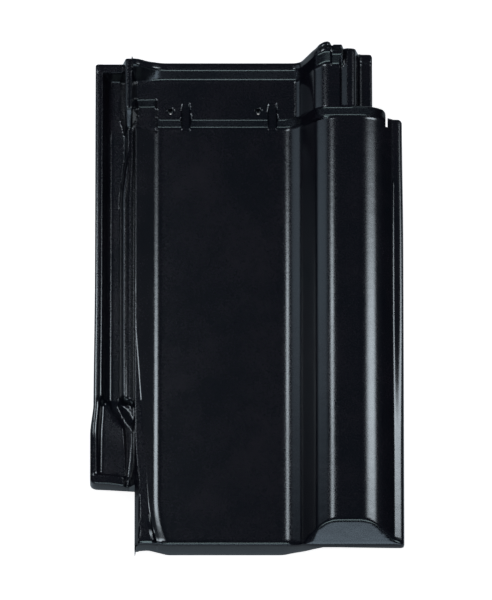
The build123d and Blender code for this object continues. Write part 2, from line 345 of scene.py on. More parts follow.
        nail = (self.pan_left + self.nail_first, self.panel + self.nail_from_panel)
        self.nail_places = (nail, (nail[0] + self.nail_spacing, nail[1]))
        middle = (self.pan_left + self.pan_right) / 2
        self.nib_places = (middle - self.nib_spacing / 2, middle + self.nib_spacing / 2)
        trench = self.pan_left + self.trench_first
        self.trench_places = (trench, trench + self.trench_spacing)
        self.panel_level = self.pan_level + self.panel_rise

    def foot_spread(self, v: float) -> float:
        """How far the foot of the left flank spreads towards the tile's foot."""
        return self.foot_sweep * max(1 - v / self.foot_sweep_run, 0.0) ** 2

    def facet_level(self, v: float) -> float:
        """Level of the facet that cuts the left flank near the tile's foot."""
        share = (self.facet_length - v) / self.facet_length
        return self.pan_level + self.crest_rise - share * self.facet_drop

    def facet_edge(self, v: float) -> float:
        """Place across the tile where the facet meets the flank.

        Args:
            v: Place along the tile, from its foot.

        Returns:
            The place in millimetres.
        """
        if v >= self.facet_length:
            past = eased(v, self.facet_length, self.facet_length + self.facet_fade)
            return self.crest + (self.fold - self.crest) * past
        edge = self.pan_left + 0.75 * self.foot_spread(v)
        edge -= (self.facet_level(v) - self.pan_level) * self.flank_run / self.crest_rise
        return max(edge, self.crest)

    @cached_property
    def field_profile(self) -> Profile:
        """Weather face across the pan, the roll and the cover flange."""
        slope = self.crest_rise / self.flank_run
        return Profile(
            (self.body_left - self.run_on, self.pan_level + slope * (self.run_on + self.flank_run)),
            (self.pan_left + 0.6, self.pan_level),
            (self.pan_right, self.pan_level),
            (self.roll_left, self.pan_level + self.roll_rise),
            (self.roll_right, self.pan_level + self.roll_rise),
            (self.lip_left, self.pan_level + self.lip_rise),
            (self.lip_right, self.pan_level + self.lip_rise),
            radii=(14.0, 24.7, 28.4, 32.0, 3.0),
        )

    @cached_property
    def head_profile(self) -> Profile:
        """Weather face across the head panel and the head's roll."""
        return Profile(
            (self.ridge_left - self.run_on, self.panel_level),
            (self.head_roll_foot, self.panel_level),
            (self.head_roll_left, self.panel_level + self.roll_rise),
            (self.head_roll_right, self.panel_level + self.roll_rise),
            (self.head_flange_left, self.side_flange_level),
            (self.lip_right, self.side_flange_level),
            radii=(9.0, 19.0, 4.0, 4.0),
        )

    @cached_property
    def bar_top_profile(self) -> Profile:
        """Top of the head bar, which sweeps up to the ridge and over the roll."""
        level = self.panel_level + self.head_bar_rise
        return Profile(
            (self.ridge_left - self.run_on, level + self.crest_rise),
            (self.crest_right, level + self.crest_rise),
            (self.crest_right + self.head_flank_run, level),
            (self.head_roll_foot, level),
            (self.head_roll_left, level + self.roll_rise),
            (self.lip_right, level + self.roll_rise),
            radii=(12.0, 24.0, 11.0, 15.0),
        )

    @cached_property
    def ridge_profile(self) -> Profile:
        """Top and right wall of the ridge."""
        level = self.panel_level + self.crest_rise
        slope = self.crest_rise / self.head_ridge_slope_run
        return Profile(
            (self.ridge_left - self.run_on, level),
            (self.ridge_right, level),
            (self.ridge_right + 8, level - 8 * slope),
            radii=(2.0,),
        )

    @cached_property
    def step_profile(self) -> Profile:
        """Rise of the head above the field, along the tile."""
        return ramp(self.step - 1.0, self.panel + 2.3, self.panel_rise, 1.1)

    @cached_property
    def bar_profile(self) -> Profile:
        """Rise of the bar above the head panel, along the tile."""
        return ramp(self.head_bar - 2.1, self.head_bar_top + 1.7, self.head_bar_rise, 1.3)

    @cached_property
    def rib_profile(self) -> Profile:
        """Top of the lock rib between the channel and the flank."""
        left = self.trough_right
        top = self.lock_rib_level
        return Profile(
            (left - 20, self.channel_floor - 110),
            (left + 2.2, top - 1.6),
            (left + 4.6, top + 1.0),
            (left + 7.8, top - 0.6),
            (left + 11.4, top - 0.4),
            (left + 12.3, top - 1.2),
            (self.body_left + 8, top - 0.2),
            radii=(1.4, 1.4, 2.0, 0.6, 0.6),
        )

    @cached_property
    def channel_profile(self) -> Profile:
        """Rim and floor of the side channel."""
        return Profile(
            (self.rim_outer - 20, self.rim_level - 0.7),
            (self.rim_inner, self.rim_level),
            (self.trough_left - 1.8, self.channel_floor),
            (self.body_left + 8, self.channel_floor),
            radii=(2.6, 6.0),
        )

    @cached_property
    def field_under(self) -> Profile:
        """Underside of the pan, the roll and the cover flange."""
        return self.field_profile.lowered(self.shell)

    @cached_property
    def head_under(self) -> Profile:
        """Underside of the raised head."""
        return self.head_profile.lowered(self.shell)

    @cached_property
    def foot_profile(self) -> Profile:
        """Lower edge of the wall across the foot."""
        lip = self.pan_level + self.lip_rise - self.shell
        return Profile(
            (self.body_left - 10, 7.4),
            (self.pan_left - 7, 12.0),
            (self.pan_left + 10, 0.0),
            (self.pan_right - 10, 0.0),
            (self.pan_right + 15, 26.0),
            (self.roll_left, 32.0),
            (self.lip_left, lip),
            (self.lip_right + 5, lip),
            radii=(6.0, 8.0, 10.0, 10.0, 8.0, 8.0),
        )

    @cached_property
    def channel_under_profile(self) -> Profile:
        """Underside of the channel and the lock rib."""
        return Profile(
            (self.rim_outer - 10, self.channel_under),
            (self.trough_right + 5.2, self.channel_under),
            (self.trough_right + 10.5, self.channel_under + 10.5),
            (self.body_left + 9, self.channel_under + 9.5),
            radii=(1.5, 1.5),
        )


class WeatherSpot(NamedTuple):
    """One place of the glazed upper face, and the height of each part of it there.

    Attributes:
        plan: Sizes of the tile.
        x: Place across the tile.
        v: Place along the tile, from its foot.
    """

    plan: TilePlan
    x: float
    v: float

    @property
    def outlet_distance(self) -> float:
        """Distance from the middle of the water outlet."""
        plan, x, v = self
        middle = (plan.trough_left + plan.trough_right) / 2
        right = plan.body_left - plan.outlet_width / 2
        start = plan.lock_rib_start
        route = (
            Vector((middle, start + 12)),
            Vector((middle, start)),
            Vector((right - 2, start - plan.outlet_drop + 4)),
            Vector((right - 1, start - plan.outlet_drop - 8)),
            Vector((right - 1, plan.lug_front - 9)),
        )
        here = Vector((x, v))
        nearest = math.inf
        for a, b in zip(route, route[1:]):
            run = b - a
            share = min(max((here - a).dot(run) / run.length_squared, 0.0), 1.0)
            nearest = min(nearest, (here - a - run * share).length)
        return nearest

    @property
    def lug(self) -> float:
        """Falling rim, pad, front border and water outlet of the lug."""
        plan, x, v = self
        share = (plan.flare_start - v) / (plan.flare_start - plan.lug_front)
        fall = plan.lug_fall * min(max(share, 0.0), 1.0)
        rim = plan.rim_level - fall - 0.05 * max(plan.rim_inner - x, 0.0)
        pad = plan.lug_level - fall / 2
        inward = eased(x, plan.rim_inner - 3.2, plan.rim_inner + 1.9)
        surface = rim + (pad - rim) * inward
        border = plan.rim_level - fall - max(x - plan.trough_left, 0.0) * 0.22
        border -= max(v - plan.lug_front - 8.2, 0.0) * 2.4
        surface = blend_max(surface, border, 0.8)
        gap = self.outlet_distance - plan.outlet_width / 2 + 0.9
        return blend_min(surface, plan.channel_floor + 1.5 + max(gap, 0.0) * 1.6, 1.2)

    @property
    def channel(self) -> float:
        """Side channel with its end wall, its lock rib and the lug below it."""
        plan, x, v = self
        start = plan.lock_rib_start
        surface = self.lug if v < start + 6 else 0.0
        if v > start - 2:
            floor = plan.channel_profile.at(x)
            wall = plan.channel_floor + (v - plan.head_end + 12.4) * 2.95
            floor = blend_max(floor, min(wall, plan.rim_level), 1.2)
            surface += (floor - surface) * eased(v, start - 1, start + 6)
        widening = min(max((v - plan.widening_start) / plan.widening_run, 0.0), 1.0)
        near_body = eased(x, plan.body_left - 9, plan.body_left)
        rib = plan.rib_profile.at(x - plan.trough_widening * widening * (1 - near_body))
        end = start + 6.0 - 0.55 * (x - plan.trough_right)
        rib -= rounded_fall(v - end, 3.0, 4.0) + max(x - plan.body_left - 0.3, 0.0) * 6
        surface = blend_max(surface, rib, 1.4)
        surface -= rounded_fall(v - plan.lug_front, 1.8, 6.0)
        edge = 1.3 + 1.2 * (1 - eased(v, plan.flare_start, start))
        surface -= rounded_fall(x - plan.rim_outer, edge)
        return surface - rounded_fall(plan.head_end - v, 2.0)

    @property
    def field(self) -> float:
        """Pan, roll and cover flange below the head."""
        plan, x, v = self
        spread = plan.foot_spread(v)
        edge = plan.facet_edge(v)
        foot = plan.pan_left + spread
        if spread > 0 and edge < x < foot:
            start = plan.pan_left + edge - foot + 0.25 * spread
            place = start + (x - edge) * (plan.pan_left - start) / (foot - edge)
        else:
            place = x - spread * (1 - eased(x, foot, foot + 30)) * (x >= foot)
        height = plan.field_profile.at(place)
        if x > plan.lip_left - 3:
            tilt = 0.04 + 0.3 * (1 - eased(v, *plan.lip_tilt_fade))
            height -= tilt * max(x - plan.lip_left + 0.5, 0.0)
        if x < plan.pan_left and v < plan.facet_length:
            height = min(height, plan.facet_level(v))
        if x < plan.pan_left:
            upper = eased(v, *plan.flank_wall_fade)
            wall = plan.body_left + plan.body_draft * (1 - eased(v, *plan.draft_fade))
            height -= rounded_fall(x - wall, 0.9, 1.6 + 10 * upper)
            height -= rounded_fall(plan.flank_end - v, 1.5, 8.0)
            if v > plan.flank_end - 6 and x > plan.body_left - 0.5:
                height = blend_max(height, plan.pan_level, 1.5)
            return height
        slope = plan.nose_slope_drop / plan.nose_slope_run
        nose = plan.pan_level + plan.roll_rise - plan.nose_slope_drop
        nose += v * (1 + plan.nose_reach / plan.nose_ease) * slope
        height = blend_min(height, nose, 1.6)
        return height - rounded_fall(plan.panel - v, 3.0 if x > plan.band_right else 1.0)

    @property
    def band(self) -> float:
        """Bar across the pan and the roll where the head begins."""
        plan, x, v = self
        height = plan.field_profile.at(x) + plan.step_profile.at(v)
        height -= rounded_fall(plan.band_end - v, 2.0, 4.0)
        height -= rounded_fall(x - plan.pan_left, 1.5)
        return height - rounded_fall(plan.band_right - x, 5.0)

    @property
    def head(self) -> float:
        """Raised head panel, its roll, its flange and the bar along its edge."""
        plan, x, v = self
        on_pan = eased(x, plan.pan_left - 0.8, plan.pan_left + 0.8)
        risen = plan.step_profile.at(v - plan.flank_delay * (1 - on_pan))
        height = plan.head_profile.at(x) - plan.panel_rise + risen
        share = plan.bar_profile.at(v) / plan.head_bar_rise
        share *= 1 - eased(x, plan.bead_end - 1.0, plan.bead_end + 1.0)
        height += share * (plan.bar_top_profile.at(x) - height)
        if plan.groove_left < x < plan.groove_right and v > plan.band_end:
            down = (x - plan.groove_left) / plan.groove_wall
            up = (plan.groove_right - x) / (plan.groove_width - plan.groove_wall)
            height -= plan.groove_depth * min(down, up, 1.0) * (1 - share)
        if x > plan.head_flange_left - 1:
            height += eased(v, *plan.flange_lift_span)
        height += self.bead
        if v < plan.ridge_start:
            height -= rounded_fall(x - plan.body_left + 0.4, 0.4)
        height -= rounded_fall(plan.head_end - v, 3.0)
        return height - rounded_fall(plan.head_flange_right - x, 2.5)

    @property
    def bead(self) -> float:
        """Two short beads on the end of the head's roll."""
        plan, x, v = self
        across = min(
            eased(x, plan.head_roll_left - 2, plan.head_roll_left + 3),
            1 - eased(x, plan.groove_left + 1.6, plan.groove_left + 3.2),
            eased(abs(x - plan.bead_notch), 0.7, 1.9),
        )
        along = eased(v, plan.head_end - 5.4, plan.head_end - 3.8)
        return plan.bead_rise * across * along

    @property
    def ridge(self) -> float:
        """Ridge that closes the head panel on the channel's side."""
        plan, x, v = self
        height = plan.ridge_profile.at(x)
        height -= rounded_fall(x - plan.ridge_left, 2.0, 6.0)
        height -= rounded_fall(v - plan.ridge_start, 1.5, 1.5)
        return height - rounded_fall(plan.head_end - v, 2.0)

    @property
    def trench(self) -> float:
        """Floor and walls of the drain trenches through the step."""
        plan, x, v = self
        floor = plan.pan_level + (v - plan.step) * plan.panel_rise / plan.trench_length
        half = plan.trench_width / 2
        gap = min(abs(x - left - half) for left in plan.trench_places) - half
        return floor + max(gap + 0.3, 0.0) * 4.5

    @property
    def height(self) -> float:
        """Weather face with all its parts joined."""
        plan, x, v = self
        surface = self.channel if x < plan.body_left + 6 else -50.0
        if x > plan.body_left - 8 and v < plan.pocket_end + 8:
            surface = blend_max(surface, self.field, 0.8)
        on_panel = x > plan.body_left - 2 and v > plan.step - 2
        if on_panel or (x > plan.ridge_right and v > plan.head_bar - 4):
            surface = blend_max(surface, self.head, 1.2)
        if plan.step - 2 < v < plan.band_end + 10 and x > plan.pan_left - 2:
            surface = blend_max(surface, self.band, 1.0)
        in_trench = plan.step - 2 < v < plan.step + plan.trench_length
        if in_trench and plan.pan_left < x < plan.pan_right:
            surface = blend_min(surface, self.trench, 1.2)
        if x < plan.ridge_foot + 4 and v > plan.step - 10:
            soft = x > plan.ridge_right and v > plan.ridge_start
            surface = blend_max(surface, self.ridge, 5.0 if soft else 1.0)
        for a, b in plan.nail_places:
            if abs(x - a) < 6 and abs(v - b) < 6:
                inside = math.hypot(x - a, v - b) - plan.nail_radius
                surface -= rounded_fall(inside, plan.nail_round, 1.0)
        if x > plan.body_left:
            past = eased(x, plan.pan_right - 6, plan.pan_right + 12)
            front = plan.foot_radius + (plan.nose_radius - plan.foot_radius) * past
            surface -= rounded_fall(v, front)
        surface -= rounded_fall(plan.lip_right - x, plan.lip_edge_radius)
        lowest = plan.channel_under + 2.0 if x < plan.body_left + 4 else 2.0
        return max(surface, lowest)


class UnderSpot(NamedTuple):
    """One place of the unglazed underside, and the height of each part of it there.

    Attributes:
        plan: Sizes of the tile.
        x: Place across the tile.
        v: Place along the tile, from its foot.
        top: Height of the weather face there.
    """

    plan: TilePlan
    x: float
    v: float
    top: float

    @property
    def nibs(self) -> float:
        """Two nibs that hang the tile on its batten."""
        plan, x, v, _ = self
        start = plan.nib_start
        across = min(abs(x - place) for place in plan.nib_places) - plan.nib_width / 2
        along = max(start - v, v - start - plan.nib_depth)
        return rounded_fall(-max(across, along), 1.6, 9.0)

    @property
    def height(self) -> float:
        """Underside with all its parts joined."""
        plan, x, v, top = self
        low = plan.field_under.at(x)
        if v <= plan.panel:
            surface = low
        else:
            surface = plan.head_under.at(x)
            if x > plan.head_flange_right or v < plan.band_end + 6:
                surface = min(surface, low + plan.panel_rise)
        rising = eased(v, plan.step - 3, plan.panel + 3)
        if x < plan.pan_left and v > plan.flank_end - plan.shell:
            rising = eased(v, plan.pocket_end - 3, plan.pocket_end + 5)
            surface = plan.pan_level - plan.shell + plan.panel_rise * rising
        elif v > plan.step - 3:
            surface = min(surface, low + (surface - low) * rising)
        if x < plan.body_left + 4:
            channel = plan.channel_under
            if v > plan.lock_rib_start:
                channel = plan.channel_under_profile.at(x)
            surface = min(surface, channel) if x > plan.body_left else channel
        if v < plan.foot_wall and x > plan.body_left:
            surface = min(surface, plan.foot_profile.at(x))
        if abs(v - plan.nib_start) < 30:
            surface = min(surface, self.nibs)
        return max(min(surface, top - plan.thinnest * eased(v, -4, 6)), 0.0)


def graded(marks: list[float], fine: float, growth: float, coarse: float) -> list[float]:
    """Places between marks, close together near a mark and wider apart away from it.

    Args:
        marks: Places that must be kept exactly.
        fine: Spacing beside a mark.
        growth: How fast the spacing grows with distance from a mark.
        coarse: Widest spacing.

    Returns:
        Every place in order.
    """
    places = [min(marks)]
    ordered = sorted(marks)
    for left, right in zip(ordered, ordered[1:]):
        length = right - left
        if length < TINY:
            continue
        walk = [0.0]
        while walk[-1] < length:
            nearest = min(walk[-1], length - walk[-1])
            walk.append(walk[-1] + min(fine + growth * max(nearest, 0.0), coarse))
        scale = length / walk[-1]
        places.extend(left + step * scale for step in walk[1:])
    return places


def traced(points: tuple[Pair, ...], place: float) -> float:
    """Value at a place between listed points, joined by straight lines.

    Args:
        points: Places in order, each with its value.
        place: Where the value is read.

    Returns:
        The value there.
    """
    for (left, low), (right, high) in zip(points, points[1:]):
        if place < right:
            share = min(max((place - left) / (right - left), 0.0), 1.0)
            return low + (high - low) * share
    return points[-1][1]


@dataclass(frozen=True)
class Corner:
    """One rounded corner of the outline, with the directions (1 or -1) into the tile."""

    x: float
    v: float
    inward_x: int
    inward_v: int
    radius: float

    def moved(self, x: float, v: float) -> Pair:
        """Moves a place of the square grid onto the rounded outline.

        Args:
            x: Place across the tile.
            v: Place along the tile, from its foot.

        Returns:
            The moved place.
        """
        across = 1 - (x - self.x) * self.inward_x / self.radius
        along = 1 - (v - self.v) * self.inward_v / self.radius
        if not (0 < across <= 1.0001 and 0 < along <= 1.0001):
            return x, v
        round_x = across * math.sqrt(max(1 - along * along / 2, 0.0))
        round_v = along * math.sqrt(max(1 - across * across / 2, 0.0))
        return (
            self.x + (1 - round_x) * self.radius * self.inward_x,
            self.v + (1 - round_v) * self.radius * self.inward_v,
        )


@dataclass
class PressedTile:
    """The whole tile as one closed mesh, pressed from a grid.

    Attributes:
        plan: Sizes of the tile.
        waviness: Height of the slow unevenness that firing leaves, in millimetres.
        wave_length: Length of that unevenness.
        wave_seed: Which unevenness of its kind it is.
        grain_across: Finest spacing, growth and widest spacing of the grid across the tile.
        grain_along: The same along it.
        grain_mark: Place along the tile where the grid is fine again, below the head.
        crease_angle: Sharpest turn in degrees that is shaded smooth.
        facet_angle: The same along the facet, which is a soft edge.
    """

    plan: TilePlan = field(default_factory=TilePlan)
    waviness: float = 0.12
    wave_length: float = 70.0
    wave_seed: float = 7.0
    grain_across: Triple = (0.55, 0.42, 4.0)
    grain_along: Triple = (0.6, 0.4, 7.0)
    grain_mark: float = 350.0
    crease_angle: float = 50.0
    facet_angle: float = 8.0

    @property
    def columns(self) -> list[float]:
        """Grid places across the tile."""
        plan = self.plan
        marks = [
            plan.rim_outer, plan.rim_inner, plan.trough_left, plan.trough_right,
            plan.trough_right + 2.4, plan.ridge_left, plan.ridge_right,
            plan.body_left - 2.6, plan.body_left, plan.body_left + plan.body_draft,
            plan.crest_right, plan.fold, plan.fold + 4, plan.fold + 8,
            plan.pan_left, plan.pan_left + 4, plan.pan_right, plan.roll_left, plan.roll_right,
            plan.head_roll_foot, plan.head_roll_left, plan.groove_left,
            plan.groove_left + plan.groove_wall, plan.bead_end, plan.groove_right,
            plan.bead_notch, plan.head_roll_right, plan.head_flange_left,
            plan.head_flange_right, plan.band_right, plan.band_right + plan.lip_slot_width,
            plan.lip_left, plan.lip_right,
        ]
        for left in plan.trench_places:
            marks += [left, left + plan.trench_width]
        for x, _ in plan.nail_places:
            marks += [x - plan.nail_radius, x + plan.nail_radius]
        for x in plan.nib_places:
            marks += [x - plan.nib_width / 2, x + plan.nib_width / 2]
        return graded(marks, *self.grain_across)

    @property
    def rows(self) -> list[float]:
        """Grid places along the tile."""
        plan = self.plan
        nail = plan.nail_places[0][1]
        marks = [
            0.0, plan.foot_wall, plan.nose_slope_run - plan.nose_reach, plan.lug_front,
            plan.lug_front + 7.0, plan.lug_front + 52, plan.lock_rib_start,
            plan.lock_rib_start + 8, self.grain_mark, plan.slot_start, plan.flank_end, plan.step,
            plan.panel, plan.band_end, plan.ridge_start,
            nail - plan.nail_radius, nail + plan.nail_radius, plan.pocket_end,
            plan.pocket_end + plan.step_run, plan.nib_start, plan.nib_start + plan.nib_depth,
            plan.head_bar, plan.head_bar_top, plan.head_end - 4.6, plan.head_end,
        ]
        return graded(marks, *self.grain_along)

    def folded(self, x: float, v: float) -> float:
        """Moves a column of the grid onto the edge between the facet and the flank.

        Args:
            x: Place across the tile.
            v: Place along the tile, from its foot.

        Returns:
            The moved place across the tile.
        """
        plan = self.plan
        left, column, right = plan.body_left, plan.fold, plan.pan_left + 4
        if not (left < x < right and v < plan.facet_length + plan.facet_fade):
            return x
        edge = plan.facet_edge(v)
        if x < column:
            return left + (x - left) * (edge - left) / (column - left)
        return right - (right - x) * (right - edge) / (right - column)

    def outside(self, x: float, v: float) -> bool:
        """Whether a place of the grid lies outside the tile or in a hole.

        Args:
            x: Place across the tile.
            v: Place along the tile, from its foot.

        Returns:
            True where there is no clay.
        """
        plan = self.plan
        if x < plan.body_left and v < plan.lug_front:
            return True
        if x > plan.head_flange_right and v > plan.band_end:
            return True
        if x > plan.band_right and v > plan.panel:
            return True
        if 0 < x - plan.band_right < plan.lip_slot_width and v > plan.slot_start:
            return True
        return any(max(abs(x - a), abs(v - b)) < plan.nail_radius for a, b in plan.nail_places)

    @cached_property
    def corners(self) -> tuple[Corner, ...]:
        """Rounded corners of the outline."""
        plan = self.plan
        return (
            Corner(plan.rim_outer, plan.lug_front, 1, 1, 5.0),
            Corner(plan.rim_outer, plan.head_end, 1, -1, 2.5),
            Corner(plan.head_flange_right, plan.head_end, -1, -1, 3.0),
            Corner(plan.band_right, plan.band_end, -1, -1, 3.0),
            Corner(plan.lip_right, plan.panel, -1, -1, 4.0),
            Corner(plan.lip_right, 0.0, -1, 1, 3.0),
            Corner(plan.body_left, 0.0, 1, 1, 1.2),
        )

    @cached_property
    def overruns(self) -> tuple[Pair, ...]:
        """How far each part of the head edge reaches past the pan's."""
        plan = self.plan
        full = plan.roll_overrun
        return (
            (plan.ridge_left - 2, plan.channel_overrun + 1.0),
            (plan.ridge_left, plan.channel_overrun),
            (plan.ridge_right - 0.1, plan.channel_overrun), (plan.ridge_right + 1.0, -1.0),
            (plan.crest_right + 9, -0.9), (plan.pan_left - 2, 0.0),
            (plan.head_roll_foot + 2, 0.0), (plan.head_roll_foot + 8, 1.5),
            (plan.head_roll_left - 0.5, 3.5), (plan.head_roll_left + 6.5, full - 0.5),
            (plan.head_roll_left + 9, full), (plan.head_roll_left + 12.4, full),
            (plan.head_roll_left + 13.8, full - 3.0), (plan.bead_end, full - 3.0),
            (plan.bead_end + 1.0, full - 1.6), (plan.head_flange_left - 0.5, full - 2.0),
            (plan.head_flange_left + 0.5, full - 1.2), (plan.head_flange_right, full - 1.2),
        )

    def placed(self, x: float, v: float, taper: float) -> Pair:
        """Where a place of the grid lies on the tile's real outline.

        Args:
            x: Place across the tile.
            v: Place along the tile, from its foot.
            taper: Width of a nail hole there, against its width at the top.

        Returns:
            The place in the shared frame.
        """
        plan = self.plan
        real_x, real_v = x, v
        for corner in self.corners:
            real_x, real_v = corner.moved(real_x, real_v)
        for a, b in plan.nail_places:
            span = max(abs(x - a), abs(v - b))
            if TINY < span < 3 * plan.nail_radius:
                off = Vector((x - a, v - b))
                keep = eased(span, plan.nail_radius, 3 * plan.nail_radius)
                scale = taper * (span / off.length) * (1 - keep) + keep
                real_x, real_v = a + off.x * scale, b + off.y * scale
        stretch = max(v - plan.band_end, 0.0) / (plan.head_end - plan.band_end)
        real_v += traced(self.overruns, x) * stretch
        nose = plan.nose_reach * eased(x, plan.pan_right - 12, plan.pan_right + 17)
        real_v -= nose * max(1 - v / plan.nose_ease, 0.0)
        if v < plan.rim_flare_fade[1] and x < plan.body_left:
            flare = 0.75 * (1 - eased(v, plan.flare_start, plan.lock_rib_start))
            flare = plan.lug_flare * (flare + 0.25 * (1 - eased(v, *plan.rim_flare_fade)))
            share = max(plan.trough_left - x, 0.0) / (plan.trough_left - plan.rim_outer)
            real_x -= flare * share
            slant = 2.3 * (x - plan.rim_outer) / (plan.body_left - plan.rim_outer)
            real_v -= slant * max(1 - (v - plan.lug_front) / 60.0, 0.0)
        if x > plan.lip_left:
            real_x -= plan.lip_squeeze * eased(v, *plan.lip_squeeze_span)
        return real_x, real_v + plan.foot_y

    def crease(self, mesh: bmesh.types.BMesh) -> None:
        """Shades the mesh smooth, with creases at its sharp edges and along the facet.

        Args:
            mesh: Mesh of the tile at its real size.
        """
        plan = self.plan
        for face in mesh.faces:
            face.smooth = True
        for edge in mesh.edges:
            turn = edge.calc_face_angle(math.pi)
            x, y, _ = (edge.verts[0].co + edge.verts[1].co) / (2 * MM)
            faceted = (
                plan.body_left + plan.body_draft + 2 < x < plan.pan_left + 5
                and 1 < y - plan.foot_y < plan.facet_length
            )
            limit = self.facet_angle if faceted else self.crease_angle
            edge.smooth = turn < math.radians(limit)

    def build(self) -> bpy.types.Object:
        """Makes the tile's mesh.

        Returns:
            The tile as one closed object.
        """
        columns, rows = self.columns, self.rows
        mesh = bmesh.new()
        wide, long = len(columns) - 1, len(rows) - 1
        bmesh.ops.create_grid(mesh, x_segments=wide, y_segments=long, size=1.0)
        for vert in mesh.verts:
            across = columns[round((vert.co.x + 1) / 2 * wide)]
            along = rows[round((vert.co.y + 1) / 2 * long)]
            vert.co = Vector((across, along, 0.0))
        spare = [face for face in mesh.faces if self.outside(*face.calc_center_median().xy)]
        bmesh.ops.delete(mesh, geom=spare, context="FACES")
        under = list(mesh.faces)
        made = bmesh.ops.extrude_face_region(mesh, geom=under)["geom"]
        upper = {item for item in made if isinstance(item, bmesh.types.BMVert)}
        for face in mesh.faces:
            face.material_index = Side.WEATHER.value
        for face in under:
            if face.is_valid:
                face.material_index = Side.UNDER.value
        heights: dict[Pair, float] = {}
        for vert in mesh.verts:
            x, v = self.folded(vert.co.x, vert.co.y), vert.co.y
            taper = 1.0 if vert in upper else self.plan.nail_taper
            real_x, real_y = self.placed(x, v, taper)
            if (x, v) not in heights:
                heights[(x, v)] = WeatherSpot(self.plan, x, v).height
            height = heights[(x, v)]
            if vert in upper:
                spot = Vector((real_x, real_y, self.wave_seed)) / self.wave_length
                height += self.waviness * noise.noise(spot)
            else:
                height = UnderSpot(self.plan, x, v, height).height
            vert.co = Vector((real_x, real_y, height)) * MM
        bmesh.ops.recalc_face_normals(mesh, faces=mesh.faces)
        self.crease(mesh)
        data = bpy.data.meshes.new("glazed_tile")
        mesh.to_mesh(data)
        mesh.free()
        piece = bpy.data.objects.new("glazed_tile", data)
        bpy.context.collection.objects.link(piece)
        LOG.info("glazed_tile: %d faces", len(data.polygons))
        return piece


def linear(code: str) -> tuple[float, float, float, float]:
    """Turns an sRGB hex colour into linear values.

    Args:
        code: Colour such as "#1a2b3c".

    Returns:
        Red, green, blue and alpha from 0 to 1.
    """
    values = []
    for start in (1, 3, 5):
        share = int(code[start:start + 2], 16) / 255
        values.append(share / 12.92 if share <= 0.04045 else ((share + 0.055) / 1.055) ** 2.4)
    return (values[0], values[1], values[2], 1.0)


class NodeMaterial:
    """A material built up node by node round one Principled shader."""

    def __init__(self, name: str) -> None:
        """Starts the material.

        Args:
            name: Name of the real finish.
        """
        self.material = bpy.data.materials.new(name)
        self.material.use_nodes = True
        nodes = self.material.node_tree.nodes
        self.shader = next(node for node in nodes if node.type == "BSDF_PRINCIPLED")

    def fill(self, node: bpy.types.Node, inputs: Inputs) -> None:
        """Gives a node's inputs their values, or links them to other nodes' outputs.

        Args:
            node: The node.
            inputs: Values or output sockets, by input name or index.
        """
        for name, value in inputs.items():
            if isinstance(value, Socket):
                self.material.node_tree.links.new(value, node.inputs[name])
            else:
                node.inputs[name].default_value = value

    def add_node(self, kind: str, inputs: Inputs, **settings: object) -> bpy.types.NodeOutputs:
        """Adds one node with its settings, values and links.

        Args:
            kind: Node type, without its ShaderNode prefix.
            inputs: Values or output sockets, by the new node's input name or index.
            settings: Properties of the node.

        Returns:
            The new node's outputs.
        """
        node = self.material.node_tree.nodes.new("ShaderNode" + kind)
        for name, value in settings.items():
            setattr(node, name, value)
        self.fill(node, inputs)
        return node.outputs

    def place(self) -> Socket:
        """Object coordinates."""
        return self.add_node("TexCoord", {})["Object"]

    def noise(self, size: float, detail: float, roughness: float = 0.5) -> Socket:
        """Noise whose grains have a size in millimetres."""
        inputs = {"Vector": self.place(), "Detail": detail, "Roughness": roughness}
        return self.add_node("TexNoise", {**inputs, "Scale": 1 / (size * MM)})[0]

    def math(self, operation: str, *values: object) -> Socket:
        """Arithmetic on values or sockets."""
        return self.add_node("Math", dict(enumerate(values)), operation=operation)[0]

    def mixed(self, share: object, first: str, second: str) -> Socket:
        """A colour between two hex colours."""
        inputs = {0: share, 6: linear(first), 7: linear(second)}
        return self.add_node("Mix", inputs, data_type="RGBA")[2]

    def bump(self, height: object, strength: float, depth: float, under: Inputs) -> Socket:
        """A bumped normal with its depth in millimetres, over another one if it is given."""
        inputs = {"Height": height, "Strength": strength, "Distance": depth * MM, **under}
        return self.add_node("Bump", inputs)[0]

    def finished(self, inputs: Inputs) -> bpy.types.Material:
        """Fills the shader's inputs and gives the material."""
        self.fill(self.shader, inputs)
        return self.material


@dataclass(frozen=True)
class BlackGlaze:
    """Sprayed and fired black glaze: a glassy coat with a fine orange-peel skin."""

    deep: str = "#0f1721"
    warm: str = "#241f29"
    tone_range: Pair = (0.38, 0.62)
    roughness: float = 0.17
    roughness_spread: Pair = (0.8, 1.3)
    peel_mm: float = 1.1
    ripple_mm: float = 9.0
    speck_mm: float = 1.8
    speck_share: float = 0.6
    cloud_mm: float = 45.0
    peel_depth_mm: float = 0.03
    ripple_depth_mm: float = 0.12
    relief: float = 0.5

    def build(self) -> bpy.types.Material:
        """Makes the glaze material.

        Returns:
            The finished material.
        """
        glaze = NodeMaterial("black_glaze")
        cloud = glaze.noise(self.cloud_mm, 3.0, 0.6)
        speck = glaze.noise(self.speck_mm, 2.0, 0.7)
        share = glaze.add_node("Mix", {0: self.speck_share, 2: cloud, 3: speck})[0]
        low, high = self.tone_range
        limits = {"Value": share, "From Min": low, "From Max": high}
        share = glaze.add_node("MapRange", limits)[0]
        low, high = (self.roughness * part for part in self.roughness_spread)
        rough = glaze.add_node("MapRange", {"Value": cloud, "To Min": low, "To Max": high})[0]
        ripple = glaze.bump(glaze.noise(self.ripple_mm, 2.0), self.relief, self.ripple_depth_mm, {})
        peel = glaze.noise(self.peel_mm, 2.0, 0.55)
        normal = glaze.bump(peel, self.relief, self.peel_depth_mm, {"Normal": ripple})
        tone = glaze.mixed(share, self.deep, self.warm)
        return glaze.finished({"Base Color": tone, "Roughness": rough, "Normal": normal, "IOR": 1.5})


